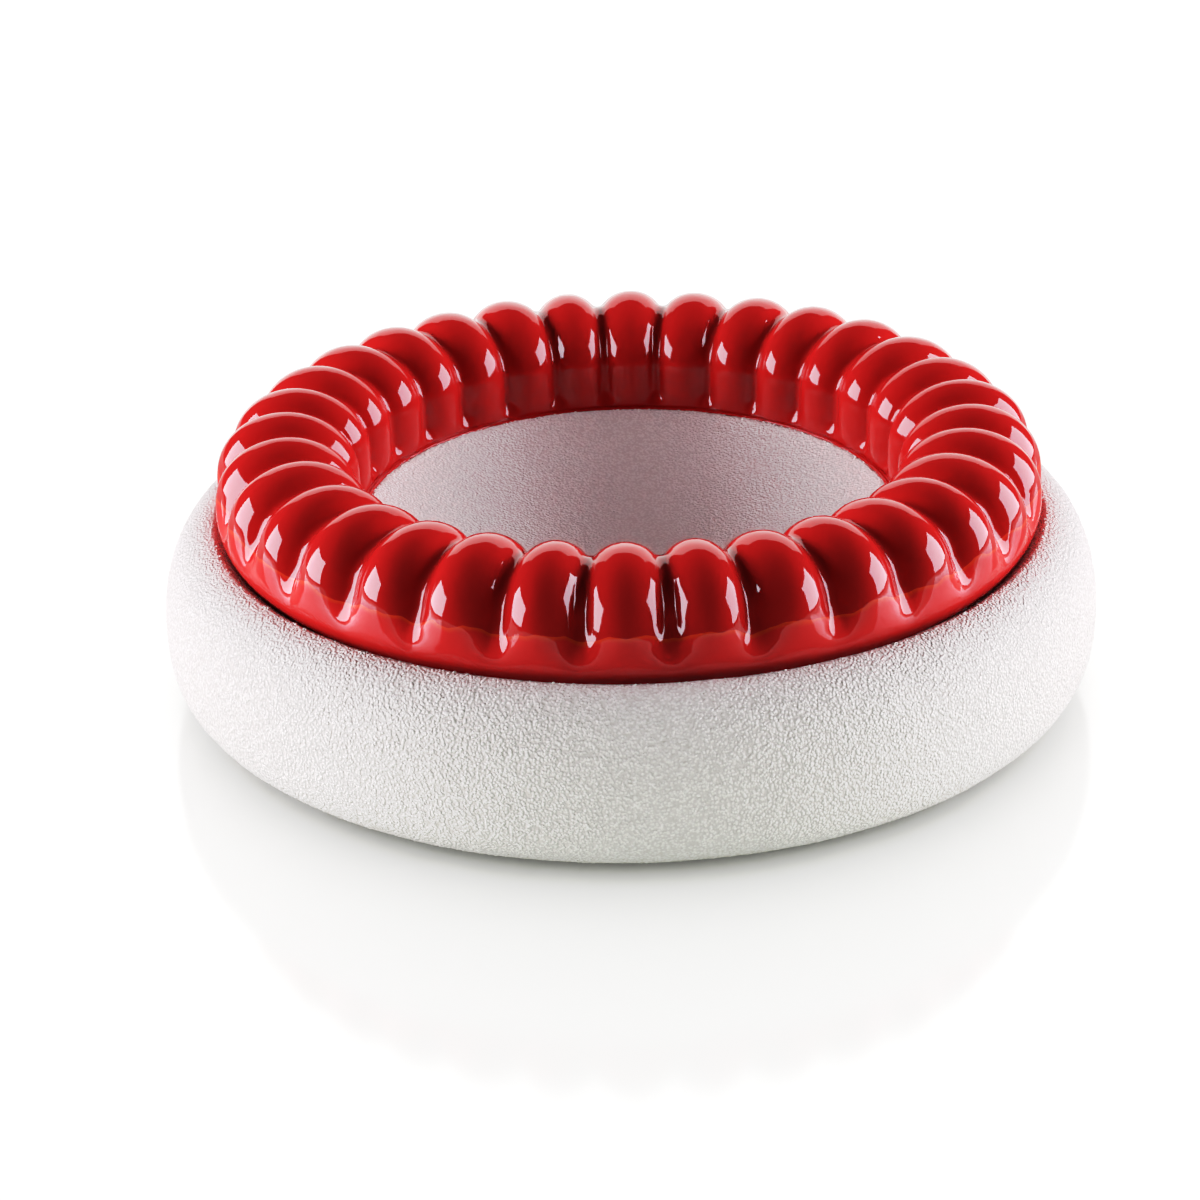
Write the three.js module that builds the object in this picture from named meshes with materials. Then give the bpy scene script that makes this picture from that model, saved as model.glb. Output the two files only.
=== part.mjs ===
// Ring-topped mousse cake: a low white cake with a bulging side, and a red glazed ring of rounded
// ribs that sits in a groove around the cake's shallow dished middle.
// Millimetres, +Z up, origin at the centre of the flat underside, with one rib facing -Y.

import * as THREE from 'three';

// White cake: the side bulges to its widest low down, tucks in to a flat foot below,
// and rolls over a shoulder to the groove's outer lip above.
const CAKE_RADIUS = 100;
const CAKE_WIDEST_HEIGHT = 19.6;
const FOOT_RADIUS = 73.4;
const FOOT_SQUARENESS = 3.1;
const LIP_RADIUS = 88.2;
const LIP_HEIGHT = 39.5;

// Dished middle, inside the groove.
const DISH_RADIUS = 56.2;
const DISH_RIM_HEIGHT = 39.1;
const DISH_DEPTH = 14;

// Red ring: a fat tube bent round the cake's axis. Its outer side tucks in below,
// its inner side drops almost straight, and its underside is seated in the groove.
const RING_RADIUS = 72.5;
const RING_HALF_WIDTH = 15.5;
const RING_WIDEST_HEIGHT = 47;
const RING_TOP_HEIGHT = 60.8;
const RING_UNDERSIDE_HEIGHT = 34;
const OUTER_SQUARENESS = 3;
const INNER_SQUARENESS = 5;
const ROUND = 2;
const TUBE_CENTRE = new THREE.Vector2(RING_RADIUS, RING_WIDEST_HEIGHT);

// Ribs: round-backed, with narrow round-bottomed valleys that fade out towards the groove, gently
// outside and short inside. Depth and valley radius are shares of half a rib's width, so they
// shrink towards the hole.
const RIB_COUNT = 32;
const RIB_FRONT_ANGLE = -Math.PI / 2;
const VALLEY_DEPTH = 0.46;
const VALLEY_RADIUS = 0.25;
const OUTER_FADE_LOW = 40;
const OUTER_FADE_HIGH = 51;
const INNER_FADE_LOW = 37.8;
const INNER_FADE_HIGH = 41;

// Groove: the ring's underside with a little room round it, and softened edges.
const SEAT_CLEARANCE = 0.3;
const LIP_ROUNDING = 0.75;
const RIM_ROUNDING = 0.75;

// Surfaces.
const VELVET_COLOUR = 0xf0eeea;
const VELVET_ROUGHNESS = 0.9;
const GLAZE_COLOUR = 0xb01218;
const GLAZE_ROUGHNESS = 0.06;

// Facets.
const CAKE_SECTORS = 72;
const SIDE_STEPS = 10;
const SHOULDER_STEPS = 6;
const EDGE_STEPS = 2;
const DISH_STEPS = 6;
const RING_UPPER_STEPS = 10;
const RING_LOWER_STEPS = 10;
const RIB_STATIONS = [0, 0.42, 0.78];

// A point of a superellipse, in the direction that an angle gives from its centre.
function superellipsePoint(centre, halfWidth, halfHeight, squareness, angle) {
  const across = Math.cos(angle);
  const up = Math.sin(angle);
  const widthShare = (Math.abs(across) / halfWidth) ** squareness;
  const heightShare = (Math.abs(up) / halfHeight) ** squareness;
  const reach = (widthShare + heightShare) ** (-1 / squareness);
  return new THREE.Vector2(centre.x + reach * across, centre.y + reach * up);
}

// The ring's crest outline at an angle round the tube: 0 outside, a quarter turn at the top,
// half a turn inside, three quarters at the underside.
function crestPoint(angle, clearance = 0) {
  const halfWidth = RING_HALF_WIDTH + clearance;
  if (Math.sin(angle) >= 0) {
    const rise = RING_TOP_HEIGHT - RING_WIDEST_HEIGHT + clearance;
    return superellipsePoint(TUBE_CENTRE, halfWidth, rise, ROUND, angle);
  }
  const squareness = Math.cos(angle) > 0 ? OUTER_SQUARENESS : INNER_SQUARENESS;
  const drop = RING_WIDEST_HEIGHT - RING_UNDERSIDE_HEIGHT + clearance;
  return superellipsePoint(TUBE_CENTRE, halfWidth, drop, squareness, angle);
}

// The angles round the tube at which the ring has a corner, upper half first.
function tubeAngles() {
  const angles = [];
  for (let step = 0; step < RING_UPPER_STEPS; step += 1) {
    angles.push((Math.PI * step) / RING_UPPER_STEPS);
  }
  for (let step = 0; step < RING_LOWER_STEPS; step += 1) {
    angles.push(Math.PI + (Math.PI * step) / RING_LOWER_STEPS);
  }
  return angles;
}

// How far the surface lies below the crest, for a place 0 on the crest to 1 in the valley:
// a wide arc over the rib, met by a small hollow arc in the valley. Unit: half a rib's width.
function ribSag(place) {
  const bothRadii = (1 + VALLEY_DEPTH ** 2) / (2 * VALLEY_DEPTH);
  const backRadius = bothRadii - VALLEY_RADIUS;
  const meetingPlace = backRadius / bothRadii;
  if (place < meetingPlace) {
    return backRadius - Math.sqrt(backRadius ** 2 - place ** 2);
  }
  return VALLEY_DEPTH - VALLEY_RADIUS + Math.sqrt(VALLEY_RADIUS ** 2 - (1 - place) ** 2);
}

// Corner stations round the ring: an angle about the cake's axis, and the place on its rib.
function ribStations() {
  const halfRib = Math.PI / RIB_COUNT;
  const places = [...RIB_STATIONS, 1, ...RIB_STATIONS.slice(1).reverse()];
  const stations = [];
  for (let rib = 0; rib < RIB_COUNT; rib += 1) {
    places.forEach((place, index) => {
      const turn = index < RIB_STATIONS.length + 1 ? place : 2 - place;
      stations.push({ angle: RIB_FRONT_ANGLE + halfRib * (2 * rib + turn), place });
    });
  }
  return stations;
}

// The share of a valley's depth that is left at a height on the ring's outside or inside.
function valleyFade(height, isOutside) {
  if (isOutside) {
    return THREE.MathUtils.smoothstep(height, OUTER_FADE_LOW, OUTER_FADE_HIGH);
  }
  return THREE.MathUtils.smoothstep(height, INNER_FADE_LOW, INNER_FADE_HIGH);
}

// A point of the ribbed ring: the crest outline, sunk towards the tube's centre in the valleys.
function ringPoint(station, tubeAngle) {
  const crest = crestPoint(tubeAngle);
  const halfRibWidth = (crest.x * Math.PI) / RIB_COUNT;
  const fade = valleyFade(crest.y, crest.x > RING_RADIUS);
  const towardsCentre = TUBE_CENTRE.clone().sub(crest).normalize();
  const point = crest.addScaledVector(towardsCentre, halfRibWidth * ribSag(station.place) * fade);
  return [
    point.x * Math.cos(station.angle),
    point.x * Math.sin(station.angle),
    point.y,
  ];
}

function glazedRing() {
  const angles = tubeAngles();
  const stations = ribStations();
  const positions = stations.flatMap((station) => (
    angles.flatMap((angle) => ringPoint(station, angle))
  ));
  const corner = (station, angle) => (
    (station % stations.length) * angles.length + (angle % angles.length)
  );
  const triangles = [];
  for (let station = 0; station < stations.length; station += 1) {
    for (let angle = 0; angle < angles.length; angle += 1) {
      const here = corner(station, angle);
      const along = corner(station + 1, angle);
      const opposite = corner(station + 1, angle + 1);
      const around = corner(station, angle + 1);
      triangles.push(here, along, opposite, here, opposite, around);
    }
  }
  const geometry = new THREE.BufferGeometry();
  geometry.setAttribute('position', new THREE.Float32BufferAttribute(positions, 3));
  geometry.setIndex(triangles);
  geometry.computeVertexNormals();
  const glaze = new THREE.MeshStandardMaterial({
    color: GLAZE_COLOUR,
    roughness: GLAZE_ROUGHNESS,
    metalness: 0,
  });
  const mesh = new THREE.Mesh(geometry, glaze);
  mesh.name = 'glazed_ring';
  return mesh;
}

// Points on an arc of a superellipse, from one angle to another, first one left out.
function arc(centre, halfWidth, halfHeight, from, to, steps, squareness = ROUND) {
  return Array.from({ length: steps }, (_, index) => {
    const angle = from + ((to - from) * (index + 1)) / steps;
    return superellipsePoint(centre, halfWidth, halfHeight, squareness, angle);
  });
}

// The cake's half section, from the middle of the underside out, up, across the groove and dish.
function cakeOutline() {
  const quarter = Math.PI / 2;
  const footCentre = new THREE.Vector2(FOOT_RADIUS, CAKE_WIDEST_HEIGHT);
  const footWidth = CAKE_RADIUS - FOOT_RADIUS;
  const shoulderCentre = new THREE.Vector2(LIP_RADIUS, CAKE_WIDEST_HEIGHT);
  const shoulderWidth = CAKE_RADIUS - LIP_RADIUS;
  const shoulderRise = LIP_HEIGHT - CAKE_WIDEST_HEIGHT;
  const lipCentre = new THREE.Vector2(LIP_RADIUS, LIP_HEIGHT - LIP_ROUNDING);
  const rimCentre = new THREE.Vector2(DISH_RADIUS, DISH_RIM_HEIGHT - RIM_ROUNDING);
  const groove = tubeAngles()
    .map((angle) => crestPoint(angle, SEAT_CLEARANCE))
    .filter((point) => point.y < Math.min(lipCentre.y, rimCentre.y))
    .sort((one, other) => other.x - one.x);
  const dish = Array.from({ length: DISH_STEPS }, (_, index) => {
    const share = 1 - (index + 1) / DISH_STEPS;
    return new THREE.Vector2(
      DISH_RADIUS * share,
      DISH_RIM_HEIGHT - DISH_DEPTH * (1 - share ** 2),
    );
  });
  return [
    new THREE.Vector2(0, 0),
    new THREE.Vector2(FOOT_RADIUS, 0),
    ...arc(footCentre, footWidth, CAKE_WIDEST_HEIGHT, -quarter, 0, SIDE_STEPS, FOOT_SQUARENESS),
    ...arc(shoulderCentre, shoulderWidth, shoulderRise, 0, quarter, SHOULDER_STEPS),
    ...arc(lipCentre, LIP_ROUNDING, LIP_ROUNDING, quarter, 2 * quarter, EDGE_STEPS),
    ...groove,
    new THREE.Vector2(DISH_RADIUS + RIM_ROUNDING, rimCentre.y),
    ...arc(rimCentre, RIM_ROUNDING, RIM_ROUNDING, 0, quarter, EDGE_STEPS),
    ...dish,
  ];
}

function velvetCake() {
  const geometry = new THREE.LatheGeometry(cakeOutline(), CAKE_SECTORS);
  geometry.rotateX(Math.PI / 2);
  const velvet = new THREE.MeshStandardMaterial({
    color: VELVET_COLOUR,
    roughness: VELVET_ROUGHNESS,
    metalness: 0,
  });
  const mesh = new THREE.Mesh(geometry, velvet);
  mesh.name = 'velvet_cake';
  return mesh;
}

const cake = new THREE.Group();
cake.add(velvetCake(), glazedRing());

export default cake;
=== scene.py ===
# Ring-topped mousse cake: a low white body under a sprayed velvet coat, and a red ring of rounded
# ribs under a mirror glaze, seated in a groove round the body's dished middle.
# Metres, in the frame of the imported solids: +Z up, the middle of the underside at the origin.

import math

import bpy
import numpy as np
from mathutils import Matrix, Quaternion, Vector


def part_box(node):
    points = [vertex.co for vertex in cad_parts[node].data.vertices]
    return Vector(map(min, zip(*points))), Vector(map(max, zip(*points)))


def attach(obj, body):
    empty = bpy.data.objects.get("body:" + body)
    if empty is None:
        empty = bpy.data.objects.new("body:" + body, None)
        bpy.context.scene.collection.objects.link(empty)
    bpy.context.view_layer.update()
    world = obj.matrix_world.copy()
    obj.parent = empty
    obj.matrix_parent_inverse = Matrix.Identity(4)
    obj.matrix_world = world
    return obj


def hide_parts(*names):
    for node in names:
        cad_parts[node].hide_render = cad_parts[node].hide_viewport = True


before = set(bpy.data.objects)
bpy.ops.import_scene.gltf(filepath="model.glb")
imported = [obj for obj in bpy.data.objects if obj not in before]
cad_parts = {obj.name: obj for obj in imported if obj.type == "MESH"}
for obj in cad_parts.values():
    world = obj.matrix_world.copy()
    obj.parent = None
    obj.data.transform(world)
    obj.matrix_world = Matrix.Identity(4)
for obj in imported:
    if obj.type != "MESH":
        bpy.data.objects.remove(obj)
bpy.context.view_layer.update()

MM = 0.001
TURN = 2 * math.pi

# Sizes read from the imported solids.
RING_LOW, RING_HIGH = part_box("glazed_ring")
CAKE_LOW, CAKE_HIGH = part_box("velvet_cake")
CAKE_RADIUS = CAKE_HIGH.x
LIP_HEIGHT = CAKE_HIGH.z

# White body: the side bulges to its widest low down, tucks in to a flat foot below,
# and rolls over a shoulder to the groove's outer lip above.
CAKE_WIDEST_HEIGHT = 19.6 * MM
FOOT_RADIUS = 73.4 * MM
FOOT_SQUARENESS = 3.1
LIP_RADIUS = 88.2 * MM
LIP_ROUNDING = 0.75 * MM

# Dished middle, inside the groove.
DISH_RADIUS = 56.2 * MM
DISH_RIM_HEIGHT = 39.1 * MM
DISH_DEPTH = 14 * MM
RIM_ROUNDING = 0.75 * MM

# The hidden pit in the body in which the dish's own mesh sits.
PIT_RADIUS = 57.1 * MM
PIT_RIM_HEIGHT = 36 * MM
PIT_FLOOR = 22 * MM
PIT_ROOM = 0.05 * MM

# Red ring: a fat tube bent round the cake's axis, with its underside in the groove.
RING_RADIUS = 72.5 * MM
RING_HALF_WIDTH = RING_HIGH.x - RING_RADIUS
RING_WIDEST_HEIGHT = 47 * MM
RING_RISE = RING_HIGH.z - RING_WIDEST_HEIGHT
RING_DROP = RING_WIDEST_HEIGHT - RING_LOW.z
ROUND = 2
OUTER_SQUARENESS = 3
INNER_SQUARENESS = 5
SEAT_CLEARANCE = 0.3 * MM
GROOVE_EDGE_GAP = 0.2 * MM

# Ribs: round-backed, with narrow round-bottomed valleys that fade out towards the groove,
# gently outside and short inside.
RIB_COUNT = 32
RIB_FRONT_ANGLE = -math.pi / 2
VALLEY_DEPTH = 0.46
VALLEY_RADIUS = 0.25
OUTER_FADE_LOW = 40 * MM
OUTER_FADE_HIGH = 51 * MM
INNER_FADE_LOW = 37.8 * MM
INNER_FADE_HIGH = 41 * MM

# Steps along each stretch of the two turned outlines, and round each turned piece.
FOOT_STEPS = 62
SHOULDER_STEPS = 40
LIP_STEPS = 6
GROOVE_STEPS = 24
RIM_STEPS = 4
DISH_STEPS = 96
BODY_SECTORS = 768
DISH_SECTORS = 720

# The photograph's view: where the camera stands, the point it looks at, its roll and its lens.
CAMERA_PLACE = Vector((11.457, -669.782, 323.890)) * MM
CAMERA_AIM = Vector((-6.62, 0, 16.51)) * MM
CAMERA_ROLL = math.radians(-1.368)
LENS = 102.05

# Glaze: how far apart it pools and waves, and how high the waves stand.
POOL_LENGTH = 14 * MM
WAVE_LENGTH = 5 * MM
WAVE_HEIGHT = 0.12 * MM

# Low on the ring's outside a lighter red is painted in as bounce light from the table. Its edge
# lies at this height on a rib's back, whose reach from the axis is also here, and lower in the
# valleys. The edge has a narrow orange band, a painted highlight of the table's edge, and
# painted shade darkens the last stretch above the lip.
BOUNCE_BAND_EDGE_HEIGHT = 48.8 * MM
BOUNCE_BAND_RIB_RADIUS = 87.2 * MM
BOUNCE_BAND_RIPPLE = 3.0 * MM
BOUNCE_BAND_ONSET_WIDTH = 6 * MM
BOUNCE_BAND_SHARPNESS = 0.25 * MM
EDGE_GLINT_LOW = 0.2 * MM
EDGE_GLINT_HIGH = 1.4 * MM
LIP_SHADE_LOW = 0.5 * MM
LIP_SHADE_HIGH = 4 * MM

# Spray grains stay clear of the lowest part of the side, where it tucks under.
GRAIN_FREE_HEIGHT = 3 * MM

# The table's white as it looks, as it lights the cake, and as it shows in the glaze.
TABLE_SEEN = (0.85, 0.85, 0.84)
TABLE_THROWN = (0.56, 0.575, 0.53)
TABLE_MIRRORED = (0.07, 0.04, 0.04)

# Light panels: how far from the cake most stand, how wide they are, and their whites.
PANEL_DISTANCE = 0.9
PANEL_WIDTH = 0.95
PLAIN_WHITE = (1, 1, 1)
PINK_WHITE = (1.0, 0.905, 0.98)
COOL_WHITE = (0.94, 0.97, 1.12)
GREEN_WHITE = (0.92, 1.0, 0.82)
MAUVE_WHITE = (1.0, 0.96, 1.02)

# The picture's tones: scene light, and how bright it is shown, both from 0 to 1.
GRADE = ((0.05, 0.04), (0.09, 0.082), (0.14, 0.138), (0.21, 0.257), (0.295, 0.42), (0.4, 0.556),
         (0.52, 0.707), (0.66, 0.797))


# Node trees -------------------------------------------------------------------------------------


class Field:
    """A number that varies over a surface. Plain arithmetic on it lays out the maths nodes."""

    def __init__(self, tree, socket):
        self.tree = tree
        self.socket = socket

    def math(self, operation, *values):
        node = self.tree.nodes.new("ShaderNodeMath")
        node.operation = operation
        for socket, value in zip(node.inputs, values):
            feed(self.tree, socket, value)
        return Field(self.tree, node.outputs[0])

    def __add__(self, other):
        return self.math("ADD", self, other)

    def __radd__(self, other):
        return self.math("ADD", other, self)

    def __sub__(self, other):
        return self.math("SUBTRACT", self, other)

    def __rsub__(self, other):
        return self.math("SUBTRACT", other, self)

    def __mul__(self, other):
        return self.math("MULTIPLY", self, other)

    def __rmul__(self, other):
        return self.math("MULTIPLY", other, self)

    def __truediv__(self, other):
        return self.math("DIVIDE", self, other)

    def __rtruediv__(self, other):
        return self.math("DIVIDE", other, self)

    def __pow__(self, other):
        return self.math("POWER", self, other)

    def __neg__(self):
        return self.math("MULTIPLY", self, -1)

    def __gt__(self, other):
        return self.math("GREATER_THAN", self, other)

    def __lt__(self, other):
        return self.math("LESS_THAN", self, other)

    def of(self, operation, *others):
        """This number put through a maths node that has no sign of its own, such as COSINE."""
        return self.math(operation, self, *others)


def feed(tree, socket, value):
    """Sets a node's input to a plain value, or links another node's output to it."""
    if isinstance(value, Field):
        value = value.socket
    if isinstance(value, bpy.types.NodeSocket):
        tree.links.new(value, socket)
    else:
        socket.default_value = value


def add(tree, kind, inputs=None, **settings):
    """A new node, with its settings made and its inputs fed by name."""
    node = tree.nodes.new(kind)
    for name, value in settings.items():
        setattr(node, name, value)
    for name, value in (inputs or {}).items():
        feed(tree, node.inputs[name], value)
    return node


def choose(switch, when_on, when_off):
    """One of two numbers, by a switch that is 0 or 1."""
    return when_off + switch * (when_on - when_off)


def smoothstep(value, low, high):
    """0 below low, 1 above high, and an even S-curve between them."""
    node = add(value.tree, "ShaderNodeMapRange",
               {"Value": value, "From Min": low, "From Max": high},
               interpolation_type="SMOOTHSTEP")
    return Field(value.tree, node.outputs[0])


def join_vector(tree, x, y, z):
    return add(tree, "ShaderNodeCombineXYZ", {"X": x, "Y": y, "Z": z}).outputs[0]


def split_vector(tree, vector):
    node = add(tree, "ShaderNodeSeparateXYZ", {"Vector": vector})
    return [Field(tree, socket) for socket in node.outputs]


def noise(tree, vector, wavelength, detail=0.0, seed=None):
    """Smooth random swells of a given length, as a number from 0 to 1 about a half."""
    node = add(tree, "ShaderNodeTexNoise",
               {"Vector": vector, "Scale": 1 / wavelength, "Detail": detail},
               noise_dimensions="3D" if seed is None else "4D")
    if seed is not None:
        feed(tree, node.inputs["W"], seed)
    return Field(tree, node.outputs[0])


def draw(tree, number, seed):
    """An even random draw from 0 to 1 for each whole number, such as a rib's or a grain's."""
    node = add(tree, "ShaderNodeTexWhiteNoise",
               {"Vector": join_vector(tree, number, seed, 0.0)}, noise_dimensions="2D")
    return Field(tree, node.outputs[0])


# Geometry trees ---------------------------------------------------------------------------------


def shape_tree(name, sizes, takes_mesh=False):
    """A new geometry tree with named size inputs. Gives the tree and its inputs by name."""
    tree = bpy.data.node_groups.new(name, "GeometryNodeTree")
    sockets = tree.interface
    if takes_mesh:
        sockets.new_socket("Mesh", in_out="INPUT", socket_type="NodeSocketGeometry")
    for size in sizes:
        sockets.new_socket(size, in_out="INPUT", socket_type="NodeSocketFloat")
    sockets.new_socket("Finish", in_out="INPUT", socket_type="NodeSocketMaterial")
    sockets.new_socket("Mesh", in_out="OUTPUT", socket_type="NodeSocketGeometry")
    entry = tree.nodes.new("NodeGroupInput")
    given = {name: Field(tree, entry.outputs[name]) for name in sizes}
    given["Finish"] = entry.outputs["Finish"]
    if takes_mesh:
        given["Mesh"] = entry.outputs["Mesh"]
    return tree, given


def end_tree(tree, mesh, finish):
    """Smooth faces, realized instances and the finish, and then the way out of the tree."""
    smooth = add(tree, "GeometryNodeSetShadeSmooth", {"Geometry": mesh})
    real = add(tree, "GeometryNodeRealizeInstances", {"Geometry": smooth.outputs[0]})
    done = add(tree, "GeometryNodeSetMaterial", {"Geometry": real.outputs[0], "Material": finish})
    leave = tree.nodes.new("NodeGroupOutput")
    tree.links.new(done.outputs[0], leave.inputs[0])


def grow(name, tree, values, base=None):
    """Runs a geometry tree with these input values, and keeps its result as a plain mesh piece."""
    base = base or bpy.data.meshes.new(name + "_base")
    piece = bpy.data.objects.new(name, base)
    bpy.context.scene.collection.objects.link(piece)
    modifier = piece.modifiers.new("Grow", "NODES")
    modifier.node_group = tree
    for item in tree.interface.items_tree:
        if item.in_out == "INPUT" and item.name in values:
            modifier[item.identifier] = values[item.name]
    graph = bpy.context.evaluated_depsgraph_get()
    grown = bpy.data.meshes.new_from_object(piece.evaluated_get(graph), depsgraph=graph)
    piece.modifiers.remove(modifier)
    piece.data = grown
    bpy.data.meshes.remove(base)
    grown.name = name
    return piece


TUBE_SIZES = (
    "Ring Radius", "Half Width", "Widest Height", "Rise", "Drop", "Outer Squareness",
    "Inner Squareness", "Rib Count", "Front Angle", "Valley Depth", "Valley Radius",
    "Outer Fade Low", "Outer Fade High", "Inner Fade Low", "Inner Fade High",
    "Rib Unevenness", "Rib Drift", "Swell Depth", "Swell Length", "Seed", "Steps Round Ring",
    "Steps Round Tube",
)


def rib_sag(place, depth, radius):
    """How far a rib's surface lies below its crest, in half rib widths: a wide arc over the back,
    met by a small hollow arc in the valley. Place is 0 on the crest and 1 in the valley."""
    both_radii = (1 + depth * depth) / (2 * depth)
    back_radius = both_radii - radius
    back = back_radius - (back_radius * back_radius - place * place).of("MAXIMUM", 0.0) ** 0.5
    off = 1 - place
    valley = depth - radius + (radius * radius - off * off).of("MAXIMUM", 0.0) ** 0.5
    return choose(place < back_radius / both_radii, back, valley)


def ribbed_tube_tree():
    """A closed tube bent round the upright axis, its section a superellipse, ribbed across."""
    tree, size = shape_tree("Ribbed tube", TUBE_SIZES)
    grid = add(tree, "GeometryNodeMeshGrid",
               {"Size X": 1.0, "Size Y": 1.0,
                "Vertices X": size["Steps Round Ring"] + 1,
                "Vertices Y": size["Steps Round Tube"] + 1})
    place = tree.nodes.new("GeometryNodeInputPosition").outputs[0]
    along, round_tube, _ = split_vector(tree, place)
    turn = along + 0.5
    tube_angle = (round_tube + 0.5) * TURN

    across = tube_angle.of("COSINE")
    up = tube_angle.of("SINE")
    above = up > 0.0
    outside = across > 0.0
    lower_squareness = choose(outside, size["Outer Squareness"], size["Inner Squareness"])
    squareness = choose(above, float(ROUND), lower_squareness)
    half_height = choose(above, size["Rise"], size["Drop"])
    width_share = (across.of("ABSOLUTE") / size["Half Width"]) ** squareness
    height_share = (up.of("ABSOLUTE") / half_height) ** squareness
    reach = (width_share + height_share) ** (-1 / squareness)
    crest_radius = size["Ring Radius"] + reach * across
    crest_height = size["Widest Height"] + reach * up

    spot = join_vector(tree, (turn * TURN).of("COSINE"), (turn * TURN).of("SINE"), 0.0)
    drift = (noise(tree, spot, 0.4, 1.0, size["Seed"]) - 0.5) * size["Rib Drift"]
    rib = turn * size["Rib Count"] + drift
    rib_place = rib.of("PINGPONG", 0.5) * 2
    half_rib = crest_radius * math.pi / size["Rib Count"]
    outer_fade = smoothstep(crest_height, size["Outer Fade Low"], size["Outer Fade High"])
    inner_fade = smoothstep(crest_height, size["Inner Fade Low"], size["Inner Fade High"])
    fade = choose(outside, outer_fade, inner_fade)
    sag = rib_sag(rib_place, size["Valley Depth"], size["Valley Radius"]) * half_rib
    rib_number = (rib + 0.5).of("FLOOR").of("MODULO", size["Rib Count"])
    slack = draw(tree, rib_number, size["Seed"]) * size["Rib Unevenness"]
    slack = slack * (1 - rib_place * rib_place)

    angle = turn * TURN + size["Front Angle"]
    round_x = angle.of("COSINE")
    round_y = angle.of("SINE")
    skin = join_vector(tree, crest_radius * round_x, crest_radius * round_y, crest_height)
    swell = noise(tree, skin, size["Swell Length"], 1.0, size["Seed"] + 7.0) * size["Swell Depth"]
    reach = reach - (sag + slack) * fade - swell
    radius = size["Ring Radius"] + reach * across
    height = size["Widest Height"] + reach * up
    point = join_vector(tree, radius * round_x, radius * round_y, height)

    tube = add(tree, "GeometryNodeSetPosition",
               {"Geometry": grid.outputs["Mesh"], "Position": point})
    closed = add(tree, "GeometryNodeMergeByDistance",
                 {"Geometry": tube.outputs[0], "Distance": 0.005 * MM})
    end_tree(tree, closed.outputs[0], size["Finish"])
    return tree


def relief_tree():
    """Sinks a mesh's sprayed faces by soft random swells, and roughens its edges."""
    sizes = ("Swell Depth", "Swell Length", "Grain Depth", "Grain Length", "Edge Depth",
             "Edge Length", "Seed")
    tree, size = shape_tree("Sprayed relief", sizes, takes_mesh=True)
    place = tree.nodes.new("GeometryNodeInputPosition").outputs[0]
    normal = tree.nodes.new("GeometryNodeInputNormal").outputs[0]
    sprayed = named(tree, "sprayed")
    edge = named(tree, "edge")
    swell = noise(tree, place, size["Swell Length"], 1.0, size["Seed"]) * size["Swell Depth"]
    grain = noise(tree, place, size["Grain Length"], 1.0, size["Seed"] + 3.0) * size["Grain Depth"]
    crumble = noise(tree, place, size["Edge Length"], 2.0, size["Seed"] + 5.0) * size["Edge Depth"]
    sink = (swell + grain) * sprayed + crumble * edge
    move = add(tree, "ShaderNodeVectorMath", {0: normal, "Scale": -sink}, operation="SCALE")
    shifted = add(tree, "GeometryNodeSetPosition",
                  {"Geometry": size["Mesh"], "Offset": move.outputs[0]})
    end_tree(tree, shifted.outputs[0], size["Finish"])
    return tree


def named(tree, attribute):
    """A number that the mesh carries under a name."""
    node = add(tree, "GeometryNodeInputNamedAttribute", {"Name": attribute}, data_type="FLOAT")
    return Field(tree, node.outputs[0])


def grain_tree():
    """Small rounded grains, scattered by chance over a mesh where the zone attribute says."""
    sizes = ("Grains Each Square Mm", "Smallest", "Largest", "Flatness", "Sides", "Bands", "Sunk",
             "Seed")
    tree, size = shape_tree("Scattered grains", sizes, takes_mesh=True)
    density = named(tree, "zone") * size["Grains Each Square Mm"] / (MM * MM)
    spread = add(tree, "GeometryNodeDistributePointsOnFaces",
                 {"Mesh": size["Mesh"], "Density": density, "Seed": size["Seed"]})
    number = Field(tree, tree.nodes.new("GeometryNodeInputIndex").outputs[0])
    chance = draw(tree, number, size["Seed"] + 11.0)
    width = size["Smallest"] + (size["Largest"] - size["Smallest"]) * chance * chance
    stretch = 0.8 + draw(tree, number, size["Seed"] + 12.0) * 0.5
    height = width * size["Flatness"]
    spin = add(tree, "FunctionNodeAxisAngleToRotation",
               {"Axis": (0, 0, 1), "Angle": draw(tree, number, size["Seed"] + 13.0) * TURN})
    turned = add(tree, "FunctionNodeRotateRotation",
                 {"Rotation": spread.outputs["Rotation"], "Rotate By": spin.outputs[0]},
                 rotation_space="LOCAL")
    grain = add(tree, "GeometryNodeMeshUVSphere",
                {"Segments": size["Sides"], "Rings": size["Bands"], "Radius": 1.0})
    away = add(tree, "ShaderNodeVectorMath",
               {0: spread.outputs["Normal"], "Scale": -(height * size["Sunk"])}, operation="SCALE")
    lowered = add(tree, "GeometryNodeSetPosition",
                  {"Geometry": spread.outputs["Points"], "Offset": away.outputs[0]})
    grains = add(tree, "GeometryNodeInstanceOnPoints",
                 {"Points": lowered.outputs[0], "Instance": grain.outputs["Mesh"],
                  "Rotation": turned.outputs[0],
                  "Scale": join_vector(tree, width * stretch, width, height)})
    end_tree(tree, grains.outputs[0], size["Finish"])
    return tree


# Finishes ---------------------------------------------------------------------------------------


def finish(name):
    """A new material. Gives the material, its tree and its Principled node."""
    material = bpy.data.materials.new(name)
    material.use_nodes = True
    tree = material.node_tree
    return material, tree, tree.nodes["Principled BSDF"]


def blend_colour(tree, share, first, second):
    """A colour between two, by a share from 0 to 1."""
    node = add(tree, "ShaderNodeMix", data_type="RGBA")
    feed(tree, node.inputs[0], share)
    for socket, colour in ((node.inputs[6], first), (node.inputs[7], second)):
        feed(tree, socket, (*colour, 1) if isinstance(colour, tuple) else colour)
    return node.outputs[2]


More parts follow.
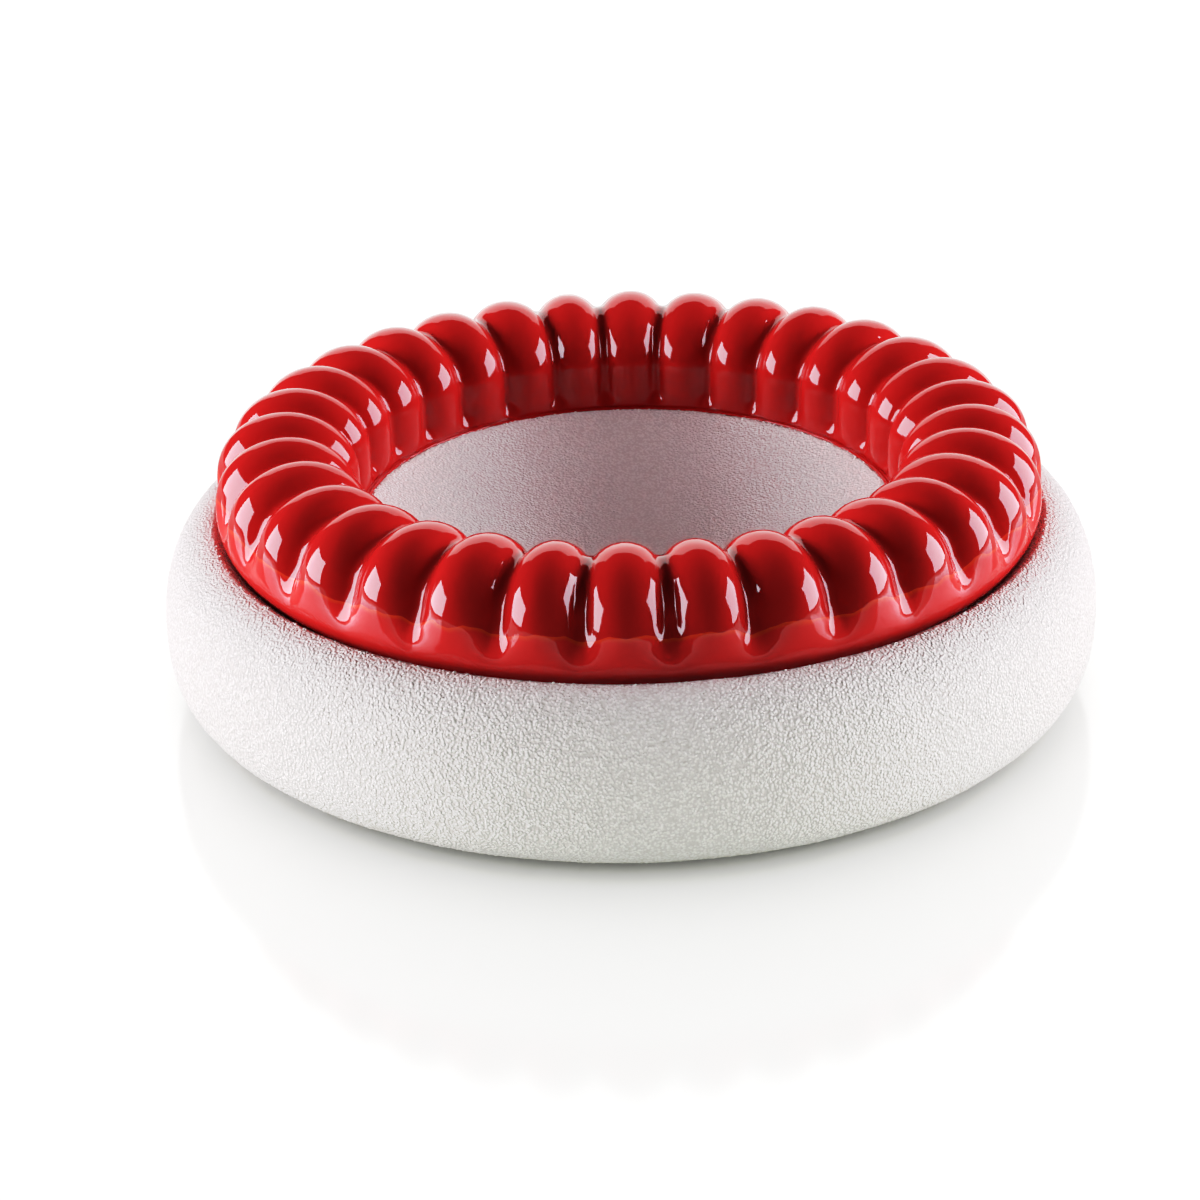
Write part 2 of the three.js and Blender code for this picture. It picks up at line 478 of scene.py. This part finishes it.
def sprayed_grain_group():
    """The velvet coat's packed droplets and a few larger ones: how high the surface stands, and
    how far it is clear of painted shade, from 0 deep between droplets to 1 on their tips."""
    tree = bpy.data.node_groups.new("Sprayed grain", "ShaderNodeTree")
    tree.interface.new_socket("Place", in_out="INPUT", socket_type="NodeSocketVector")
    tree.interface.new_socket("Grain Size", in_out="INPUT", socket_type="NodeSocketFloat")
    tree.interface.new_socket("Height", in_out="OUTPUT", socket_type="NodeSocketFloat")
    tree.interface.new_socket("Unshaded Share", in_out="OUTPUT", socket_type="NodeSocketFloat")
    entry = tree.nodes.new("NodeGroupInput")
    place = entry.outputs["Place"]
    size = Field(tree, entry.outputs["Grain Size"])
    cells = add(tree, "ShaderNodeTexVoronoi", {"Vector": place, "Scale": 1 / size})
    droplet = 1 - smoothstep(Field(tree, cells.outputs["Distance"]), 0.15, 0.85)
    drops = add(tree, "ShaderNodeTexVoronoi", {"Vector": place, "Scale": 0.4 / size})
    drop = 1 - smoothstep(Field(tree, drops.outputs["Distance"]), 0.05, 0.3)
    height = noise(tree, place, size * 1.3, 1.0) * 0.8 + droplet * 0.7 + drop * 0.4
    leave = tree.nodes.new("NodeGroupOutput")
    tree.links.new(height.socket, leave.inputs["Height"])
    tree.links.new(smoothstep(height, 0.4, 1.15).socket, leave.inputs["Unshaded Share"])
    return tree


def velvet_finish(name, grain_group, light, dark, grain_size, grain_depth):
    """Sprayed cocoa butter: matt and finely grained, with painted shade in the gaps between
    droplets.
    """
    material, tree, surface = finish(name)
    place = tree.nodes.new("ShaderNodeTexCoord").outputs["Object"]
    grain = add(tree, "ShaderNodeGroup", node_tree=grain_group)
    feed(tree, grain.inputs["Place"], place)
    feed(tree, grain.inputs["Grain Size"], grain_size)
    bump = add(tree, "ShaderNodeBump",
               {"Strength": 1.0, "Distance": grain_depth, "Height": grain.outputs["Height"]})
    # Painted shade: the dark colour in the gaps between droplets, the light one on their tips.
    feed(tree, surface.inputs["Base Color"],
         blend_colour(tree, grain.outputs["Unshaded Share"], dark, light))
    surface.inputs["Roughness"].default_value = 0.6
    surface.inputs["Specular IOR Level"].default_value = 0.3
    surface.inputs["Sheen Weight"].default_value = 0.1
    surface.inputs["Sheen Roughness"].default_value = 0.5
    feed(tree, surface.inputs["Normal"], bump.outputs[0])
    return material


def glaze_finish(name, bright, deep, foot, edge):
    """Mirror glaze: deep red, wet and glassy, with the slight waves that it sets with. Low on the
    ring's outside a lighter red is painted in as bounce light from the table, behind a wavy orange
    edge that is a painted highlight, and painted shade darkens it again at the groove's lip."""
    material, tree, surface = finish(name)
    place = tree.nodes.new("ShaderNodeTexCoord").outputs["Object"]
    pooled = noise(tree, place, POOL_LENGTH, 1.0)
    waves = noise(tree, place, WAVE_LENGTH, 1.5)
    bump = add(tree, "ShaderNodeBump",
               {"Strength": 1.0, "Distance": WAVE_HEIGHT, "Height": waves})
    x, y, z = split_vector(tree, place)
    off_axis = (x * x + y * y) ** 0.5
    sunk = (BOUNCE_BAND_RIB_RADIUS - off_axis).of("MAXIMUM", 0.0)
    ripple = (waves - 0.5) * BOUNCE_BAND_RIPPLE
    below = BOUNCE_BAND_EDGE_HEIGHT - sunk + ripple - z
    outside = smoothstep(off_axis, RING_RADIUS, RING_RADIUS + BOUNCE_BAND_ONSET_WIDTH)
    # Painted bounce light: a lighter red low on the ring's outside, up to a wavy edge that dips in
    # the valleys.
    bounce_lit = smoothstep(below, 0.0, BOUNCE_BAND_SHARPNESS) * outside
    # Painted highlight: a narrow orange band along the top of that edge.
    on_edge_glint = bounce_lit * (1 - smoothstep(below, EDGE_GLINT_LOW, EDGE_GLINT_HIGH))
    # Painted shade: the lighter red fades back towards deep red over the last stretch above the
    # lip.
    clear_of_lip_shade = smoothstep(z + ripple * 0.3, LIP_HEIGHT - LIP_SHADE_LOW, LIP_HEIGHT + LIP_SHADE_HIGH)
    body = blend_colour(tree, pooled, deep, bright)
    body = blend_colour(tree, bounce_lit * (0.1 + clear_of_lip_shade * 0.9), body, foot)
    feed(tree, surface.inputs["Base Color"], blend_colour(tree, on_edge_glint, body, edge))
    feed(tree, surface.inputs["Roughness"], 0.02 + pooled * 0.04)
    surface.inputs["IOR"].default_value = 1.5
    feed(tree, surface.inputs["Normal"], bump.outputs[0])
    return material


# Pieces -----------------------------------------------------------------------------------------


def superellipse_point(centre, half_width, half_height, squareness, angle):
    """A point of a superellipse, in the direction that an angle gives from its centre."""
    across = math.cos(angle)
    up = math.sin(angle)
    width_share = (abs(across) / half_width) ** squareness
    height_share = (abs(up) / half_height) ** squareness
    reach = (width_share + height_share) ** (-1 / squareness)
    return (centre[0] + reach * across, centre[1] + reach * up)


def arc(centre, half_width, half_height, start, end, steps, squareness=ROUND):
    """Points on a superellipse from one angle to another, the first left out."""
    return [
        superellipse_point(centre, half_width, half_height, squareness,
                           start + (end - start) * (step + 1) / steps)
        for step in range(steps)
    ]


def groove_point(angle):
    """The groove's section: the ring's crest outline with a little room round it."""
    squareness = OUTER_SQUARENESS if math.cos(angle) > 0 else INNER_SQUARENESS
    return superellipse_point((RING_RADIUS, RING_WIDEST_HEIGHT), RING_HALF_WIDTH + SEAT_CLEARANCE,
                              RING_DROP + SEAT_CLEARANCE, squareness, angle)


def groove_outline():
    """The groove's section from its outer lip, under the ring and up to the dish's rim."""
    points = [groove_point(-math.pi * step / GROOVE_STEPS) for step in range(GROOVE_STEPS)]
    lowest_edge = min(LIP_HEIGHT - LIP_ROUNDING, DISH_RIM_HEIGHT - RIM_ROUNDING)
    return [point for point in points if point[1] < lowest_edge - GROOVE_EDGE_GAP]


def body_outline():
    """The body's half section from the middle of the underside, out and up, across the groove and
    down into the hidden pit that holds the dish. Each point comes with how much of the spray
    reaches it, and how near it is to the groove's edge."""
    quarter = math.pi / 2
    rows = [((0.0, 0.0), 0, 0), ((FOOT_RADIUS * 0.5, 0.0), 0, 0), ((FOOT_RADIUS, 0.0), 0, 0)]
    foot = arc((FOOT_RADIUS, CAKE_WIDEST_HEIGHT), CAKE_RADIUS - FOOT_RADIUS, CAKE_WIDEST_HEIGHT,
               -quarter, 0, FOOT_STEPS, FOOT_SQUARENESS)
    rows += [(point, min(1, point[1] / GRAIN_FREE_HEIGHT), 0) for point in foot]
    shoulder = arc((LIP_RADIUS, CAKE_WIDEST_HEIGHT), CAKE_RADIUS - LIP_RADIUS,
                   LIP_HEIGHT - CAKE_WIDEST_HEIGHT, 0, quarter, SHOULDER_STEPS)
    rows += [(point, 1, 0) for point in shoulder]
    lip = arc((LIP_RADIUS, LIP_HEIGHT - LIP_ROUNDING), LIP_ROUNDING, LIP_ROUNDING,
              quarter, 2 * quarter, LIP_STEPS)
    rows += [(point, 1, 1) for point in lip]
    groove = [point for point in groove_outline() if point[0] > PIT_RADIUS]
    rows += [(point, 0, 0) for point in groove]
    rows += [((PIT_RADIUS, PIT_RIM_HEIGHT), 0, 0), ((PIT_RADIUS, PIT_FLOOR), 0, 0),
             ((0.0, PIT_FLOOR), 0, 0)]
    return rows


def dish_outline():
    """The dished middle's half section: a plug in the body's pit, from the middle of its hidden
    underside, out and up to its rim, and in to the middle of the dish."""
    plug_radius = PIT_RADIUS - PIT_ROOM
    floor = PIT_FLOOR + PIT_ROOM
    rows = [((0.0, floor), 0, 0), ((plug_radius, floor), 0, 0),
            ((plug_radius, PIT_RIM_HEIGHT), 0, 0)]
    rim_centre = (DISH_RADIUS, DISH_RIM_HEIGHT - RIM_ROUNDING)
    rows += [((DISH_RADIUS + RIM_ROUNDING, rim_centre[1]), 0, 0)]
    rim = arc(rim_centre, RIM_ROUNDING, RIM_ROUNDING, 0, math.pi / 2, RIM_STEPS)
    rows += [(point, 1, 1) for point in rim]
    for step in range(1, DISH_STEPS + 1):
        share = 1 - step / DISH_STEPS
        height = DISH_RIM_HEIGHT - DISH_DEPTH * (1 - share ** 2)
        rows.append(((DISH_RADIUS * share, height), 1, 0))
    return rows


def lathe(name, rows, sectors):
    """A closed mesh turned from a half section, its first and last points on the axis. Carries
    the rows' spray and edge values as attributes."""
    points = np.array([row[0] for row in rows])
    angles = np.arange(sectors) * TURN / sectors
    inner = points[1:-1]
    ring = np.stack([
        np.outer(inner[:, 0], np.cos(angles)),
        np.outer(inner[:, 0], np.sin(angles)),
        np.outer(inner[:, 1], np.ones(sectors)),
    ], axis=-1).reshape(-1, 3)
    poles = [(0, 0, points[0, 1]), (0, 0, points[-1, 1])]
    vertices = np.vstack([ring, poles])
    here = np.arange(sectors)
    beside = (here + 1) % sectors
    faces = []
    for row in range(len(inner) - 1):
        low = row * sectors
        high = low + sectors
        faces += np.stack([low + here, low + beside, high + beside, high + here], 1).tolist()
    bottom = len(ring)
    top = bottom + 1
    last = (len(inner) - 1) * sectors
    faces += [[bottom, int(b), int(a)] for a, b in zip(here, beside)]
    faces += [[top, int(last + a), int(last + b)] for a, b in zip(here, beside)]
    mesh = bpy.data.meshes.new(name)
    mesh.from_pydata(vertices.tolist(), [], faces)
    for column, attribute in ((1, "sprayed"), (2, "edge")):
        value = [row[column] for row in rows]
        spread = np.append(np.repeat(value[1:-1], sectors), [value[0], value[-1]])
        layer = mesh.attributes.new(attribute, "FLOAT", "POINT")
        layer.data.foreach_set("value", spread.astype(np.float32))
    return mesh


def velvet_piece(name, coat, outline, sectors, seed):
    """A turned piece under the spray's soft unevenness, with a crumbly edge at the groove."""
    return grow(name, RELIEF_TREE, {
        "Swell Depth": 0.3 * MM,
        "Swell Length": 12 * MM,
        "Grain Depth": 0.2 * MM,
        "Grain Length": 1.6 * MM,
        "Edge Depth": 0.5 * MM,
        "Edge Length": 1.2 * MM,
        "Seed": seed,
        "Finish": coat,
    }, lathe(name + "_base", outline, sectors))


def set_zone(mesh, zone):
    """Writes how thickly grains lie at each point of a mesh, from a function of place."""
    count = len(mesh.vertices)
    places = np.empty(count * 3, np.float32)
    mesh.vertices.foreach_get("co", places)
    sprayed = np.empty(count, np.float32)
    mesh.attributes["sprayed"].data.foreach_get("value", sprayed)
    edge = np.empty(count, np.float32)
    mesh.attributes["edge"].data.foreach_get("value", edge)
    layer = mesh.attributes.new("zone", "FLOAT", "POINT")
    layer.data.foreach_set("value", zone(places.reshape(-1, 3), sprayed, edge).astype(np.float32))


def grains(name, tree, body, coat, zone, values):
    """Velvet grains over one zone of the body."""
    base = body.data.copy()
    set_zone(base, zone)
    return grow(name, tree, {**values, "Finish": coat}, base)


def sprayed_zone(places, sprayed, edge):
    return sprayed * (places[:, 2] > GRAIN_FREE_HEIGHT)


def edge_zone(places, sprayed, edge):
    return edge


def ribbed_ring(glaze):
    """The red ring with its ribs, slightly uneven, as it leaves the mould and takes the glaze."""
    return grow("ribbed_ring", TUBE_TREE, {
        "Ring Radius": RING_RADIUS,
        "Half Width": RING_HALF_WIDTH,
        "Widest Height": RING_WIDEST_HEIGHT,
        "Rise": RING_RISE,
        "Drop": RING_DROP,
        "Outer Squareness": float(OUTER_SQUARENESS),
        "Inner Squareness": float(INNER_SQUARENESS),
        "Rib Count": float(RIB_COUNT),
        "Front Angle": RIB_FRONT_ANGLE,
        "Valley Depth": VALLEY_DEPTH,
        "Valley Radius": VALLEY_RADIUS,
        "Outer Fade Low": OUTER_FADE_LOW,
        "Outer Fade High": OUTER_FADE_HIGH,
        "Inner Fade Low": INNER_FADE_LOW,
        "Inner Fade High": INNER_FADE_HIGH,
        "Rib Unevenness": 0.3 * MM,
        "Rib Drift": 0.25,
        "Swell Depth": 0.25 * MM,
        "Swell Length": 20 * MM,
        "Seed": 2.0,
        "Steps Round Ring": 1024.0,
        "Steps Round Tube": 96.0,
        "Finish": glaze,
    })


def glaze_foot(glaze):
    """The thin bead of glaze that has run down and set where the ring's inside meets the body."""
    return grow("glaze_foot", TUBE_TREE, {
        "Ring Radius": 57.1 * MM,
        "Half Width": 1.2 * MM,
        "Widest Height": DISH_RIM_HEIGHT - 0.3 * MM,
        "Rise": 0.5 * MM,
        "Drop": 1.0 * MM,
        "Outer Squareness": float(ROUND),
        "Inner Squareness": float(ROUND),
        "Rib Count": 8.0,
        "Front Angle": 0.0,
        "Valley Depth": 0.1,
        "Valley Radius": 0.01,
        "Outer Fade Low": 1.0,
        "Outer Fade High": 2.0,
        "Inner Fade Low": 1.0,
        "Inner Fade High": 2.0,
        "Rib Unevenness": 0.0,
        "Rib Drift": 0.0,
        "Swell Depth": 0.7 * MM,
        "Swell Length": 3.0 * MM,
        "Seed": 5.0,
        "Steps Round Ring": 900.0,
        "Steps Round Tube": 16.0,
        "Finish": glaze,
    })


# Studio -----------------------------------------------------------------------------------------


def bearing(azimuth, distance, height):
    """A place round the cake: azimuth 0 is behind it for the camera, and 90 to the right."""
    angle = math.radians(azimuth)
    return Vector((math.sin(angle) * distance, math.cos(angle) * distance, height))


def only(*pieces):
    """A collection of the pieces that one light is kept to."""
    lit = bpy.data.collections.new("Lit with " + pieces[0].name)
    for piece in pieces:
        lit.objects.link(piece)
    return lit


def light_panel(name, azimuth, low, high, radiance, lit=None, colour=PLAIN_WHITE,
                distance=PANEL_DISTANCE, width=PANEL_WIDTH):
    """An upright rectangular light that faces the cake, from a low to a high edge. With lit, it
    lights only those pieces and leaves no mirror image, nor does it stand in the way of one.
    Without, it shows only as its mirror image in what is glossy."""
    lamp = bpy.data.lights.new(name, "AREA")
    lamp.shape = "RECTANGLE"
    lamp.size = width
    lamp.size_y = high - low
    lamp.color = colour
    lamp.energy = radiance * math.pi * width * (high - low)
    panel = bpy.data.objects.new(name, lamp)
    panel.location = bearing(azimuth, distance, (low + high) / 2)
    towards = -panel.location
    towards.z = 0
    panel.rotation_mode = "QUATERNION"
    panel.rotation_quaternion = towards.to_track_quat("-Z", "Y")
    panel.visible_camera = False
    panel.visible_glossy = lit is None
    panel.visible_diffuse = lit is not None
    lamp.cycles.use_multiple_importance_sampling = lit is None
    panel.light_linking.receiver_collection = lit
    bpy.context.scene.collection.objects.link(panel)


def table():
    """A glossy white table top, darker in what it lights and in mirror images than it looks."""
    mesh = bpy.data.meshes.new("table")
    left, right, front, back = -1.3, 1.3, -0.45, 1.6
    under = -0.05 * MM
    mesh.from_pydata([(left, front, under), (right, front, under), (right, back, under),
                      (left, back, under)], [], [(0, 1, 2, 3)])
    top = bpy.data.objects.new("table", mesh)
    bpy.context.scene.collection.objects.link(top)
    material, tree, surface = finish("White table")
    path = tree.nodes.new("ShaderNodeLightPath")
    white = blend_colour(tree, path.outputs["Is Diffuse Ray"], TABLE_SEEN, TABLE_THROWN)
    white = blend_colour(tree, path.outputs["Is Glossy Ray"], white, TABLE_MIRRORED)
    feed(tree, surface.inputs["Base Color"], white)
    surface.inputs["Roughness"].default_value = 0.12
    mesh.materials.append(material)
    return top


def sky_light(name, strength, lit):
    """An even light from every side above the table, for a few pieces alone."""
    lamp = bpy.data.lights.new(name, "SUN")
    lamp.energy = strength
    lamp.angle = math.pi
    light = bpy.data.objects.new(name, lamp)
    bpy.context.scene.collection.objects.link(light)
    light.light_linking.receiver_collection = lit


def room(white, mirrored, fill):
    """White behind everything for the camera, nearly dark in reflections, and a soft dim fill."""
    world = bpy.data.worlds.new("Room")
    bpy.context.scene.world = world
    world.use_nodes = True
    tree = world.node_tree
    path = tree.nodes.new("ShaderNodeLightPath")
    seen = Field(tree, path.outputs["Is Camera Ray"])
    glossy = Field(tree, path.outputs["Is Glossy Ray"])
    strength = choose(seen, white, choose(glossy, mirrored, fill))
    feed(tree, tree.nodes["Background"].inputs["Strength"], strength)
    tree.nodes["Background"].inputs["Color"].default_value = (1, 1, 1, 1)


def grade():
    """The photograph's contrast: firm middle tones and a long soft shoulder."""
    view = bpy.context.scene.view_settings
    view.view_transform = "Standard"
    view.use_curve_mapping = True
    curve = view.curve_mapping.curves[3]
    for scene_light, shown in GRADE:
        curve.points.new(scene_light, shown)
    view.curve_mapping.update()


def camera():
    lens = bpy.data.cameras.new("camera")
    lens.lens = LENS
    lens.sensor_width = 36
    lens.clip_start = 0.01
    lens.clip_end = 20
    eye = bpy.data.objects.new("camera", lens)
    eye.location = CAMERA_PLACE
    eye.rotation_mode = "QUATERNION"
    towards = (CAMERA_AIM - CAMERA_PLACE).to_track_quat("-Z", "Y")
    eye.rotation_quaternion = towards @ Quaternion((0, 0, 1), CAMERA_ROLL)
    bpy.context.scene.collection.objects.link(eye)
    bpy.context.scene.camera = eye


# The cake ---------------------------------------------------------------------------------------

GRAIN = sprayed_grain_group()
# The dark colours are painted shade in the gaps between the spray's droplets.
VELVET = velvet_finish("White velvet", GRAIN, light=(0.97, 0.97, 0.94),
                       dark=(0.76, 0.745, 0.71), grain_size=0.62 * MM, grain_depth=0.3 * MM)
DISH_VELVET = velvet_finish("Fine white velvet", GRAIN, light=(0.9, 0.9, 0.88),
                            dark=(0.78, 0.765, 0.75), grain_size=0.62 * MM,
                            grain_depth=0.14 * MM)
# foot is painted bounce light low on the ring's outside, and edge a painted highlight along its
# top.
GLAZE = glaze_finish("Red mirror glaze", bright=(0.62, 0.022, 0.022),
                     deep=(0.54, 0.017, 0.018), foot=(0.8, 0.03, 0.031), edge=(0.85, 0.07, 0.03))
TUBE_TREE = ribbed_tube_tree()
RELIEF_TREE = relief_tree()
GRAIN_TREE = grain_tree()

body = velvet_piece("velvet_body", VELVET, body_outline(), BODY_SECTORS, 1.0)
dish = velvet_piece("velvet_dish", DISH_VELVET, dish_outline(), DISH_SECTORS, 2.0)
ring = ribbed_ring(GLAZE)
foot = glaze_foot(GLAZE)
side_grains = grains("velvet_side_grains", GRAIN_TREE, body, VELVET, sprayed_zone, {
    "Grains Each Square Mm": 0.5, "Smallest": 0.35 * MM, "Largest": 0.8 * MM, "Flatness": 0.4,
    "Sides": 4.0, "Bands": 2.0, "Sunk": 0.5, "Seed": 3.0,
})
dish_grains = grains("velvet_dish_grains", GRAIN_TREE, dish, DISH_VELVET, sprayed_zone, {
    "Grains Each Square Mm": 0.5, "Smallest": 0.3 * MM, "Largest": 0.7 * MM, "Flatness": 0.4,
    "Sides": 4.0, "Bands": 2.0, "Sunk": 0.5, "Seed": 4.0,
})
lip_crumbs = grains("velvet_lip_crumbs", GRAIN_TREE, body, VELVET, edge_zone, {
    "Grains Each Square Mm": 2.0, "Smallest": 0.2 * MM, "Largest": 0.5 * MM, "Flatness": 0.7,
    "Sides": 5.0, "Bands": 3.0, "Sunk": 0.2, "Seed": 5.0,
})
rim_crumbs = grains("velvet_rim_crumbs", GRAIN_TREE, dish, DISH_VELVET, edge_zone, {
    "Grains Each Square Mm": 3.0, "Smallest": 0.15 * MM, "Largest": 0.4 * MM, "Flatness": 0.7,
    "Sides": 5.0, "Bands": 3.0, "Sunk": 0.2, "Seed": 6.0,
})

side_pieces = (body, side_grains, lip_crumbs)
dish_pieces = (dish, dish_grains, rim_crumbs)
red_pieces = (ring, foot)
for piece in side_pieces + dish_pieces + red_pieces:
    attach(piece, "root")
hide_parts("velvet_cake")
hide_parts("velvet_cake")
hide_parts("glazed_ring")

on_ring = only(*red_pieces)
on_side = only(*side_pieces)
on_dish = only(*dish_pieces)
sky_light("table_light", 3.6, only(table()))
room(white=1.0, mirrored=0.02, fill=0.03)
light_panel("ring_left", -83, 0.05, 0.59, 7.3, on_ring)
light_panel("ring_right", 72, 0.05, 0.72, 6.4, on_ring)
light_panel("ring_back", 0, 0.2, 0.9, 1.4, on_ring, distance=1.2, width=1.6)
light_panel("body_left", -97, 0.05, 0.48, 7.0, on_side, PINK_WHITE)
light_panel("body_right", 86, 0.05, 0.55, 6.5, on_side, PINK_WHITE)
light_panel("body_front", 165, 0.0, 0.25, 0.8, on_side, GREEN_WHITE, width=1.2)
light_panel("dish_left", -97, 0.05, 0.54, 8.1, on_dish, MAUVE_WHITE)
light_panel("dish_right", 86, 0.05, 0.64, 7.2, on_dish, MAUVE_WHITE)
light_panel("shine_left", -97, 0.05, 0.59, 7.4, None, COOL_WHITE, width=0.84)
light_panel("shine_right", 88, 0.05, 0.72, 6.1, None, COOL_WHITE, width=0.84)
light_panel("shine_back", 0, 0.0, 0.95, 1.15, distance=1.2, width=1.6)
camera()
grade()

bpy.context.view_layer.update()
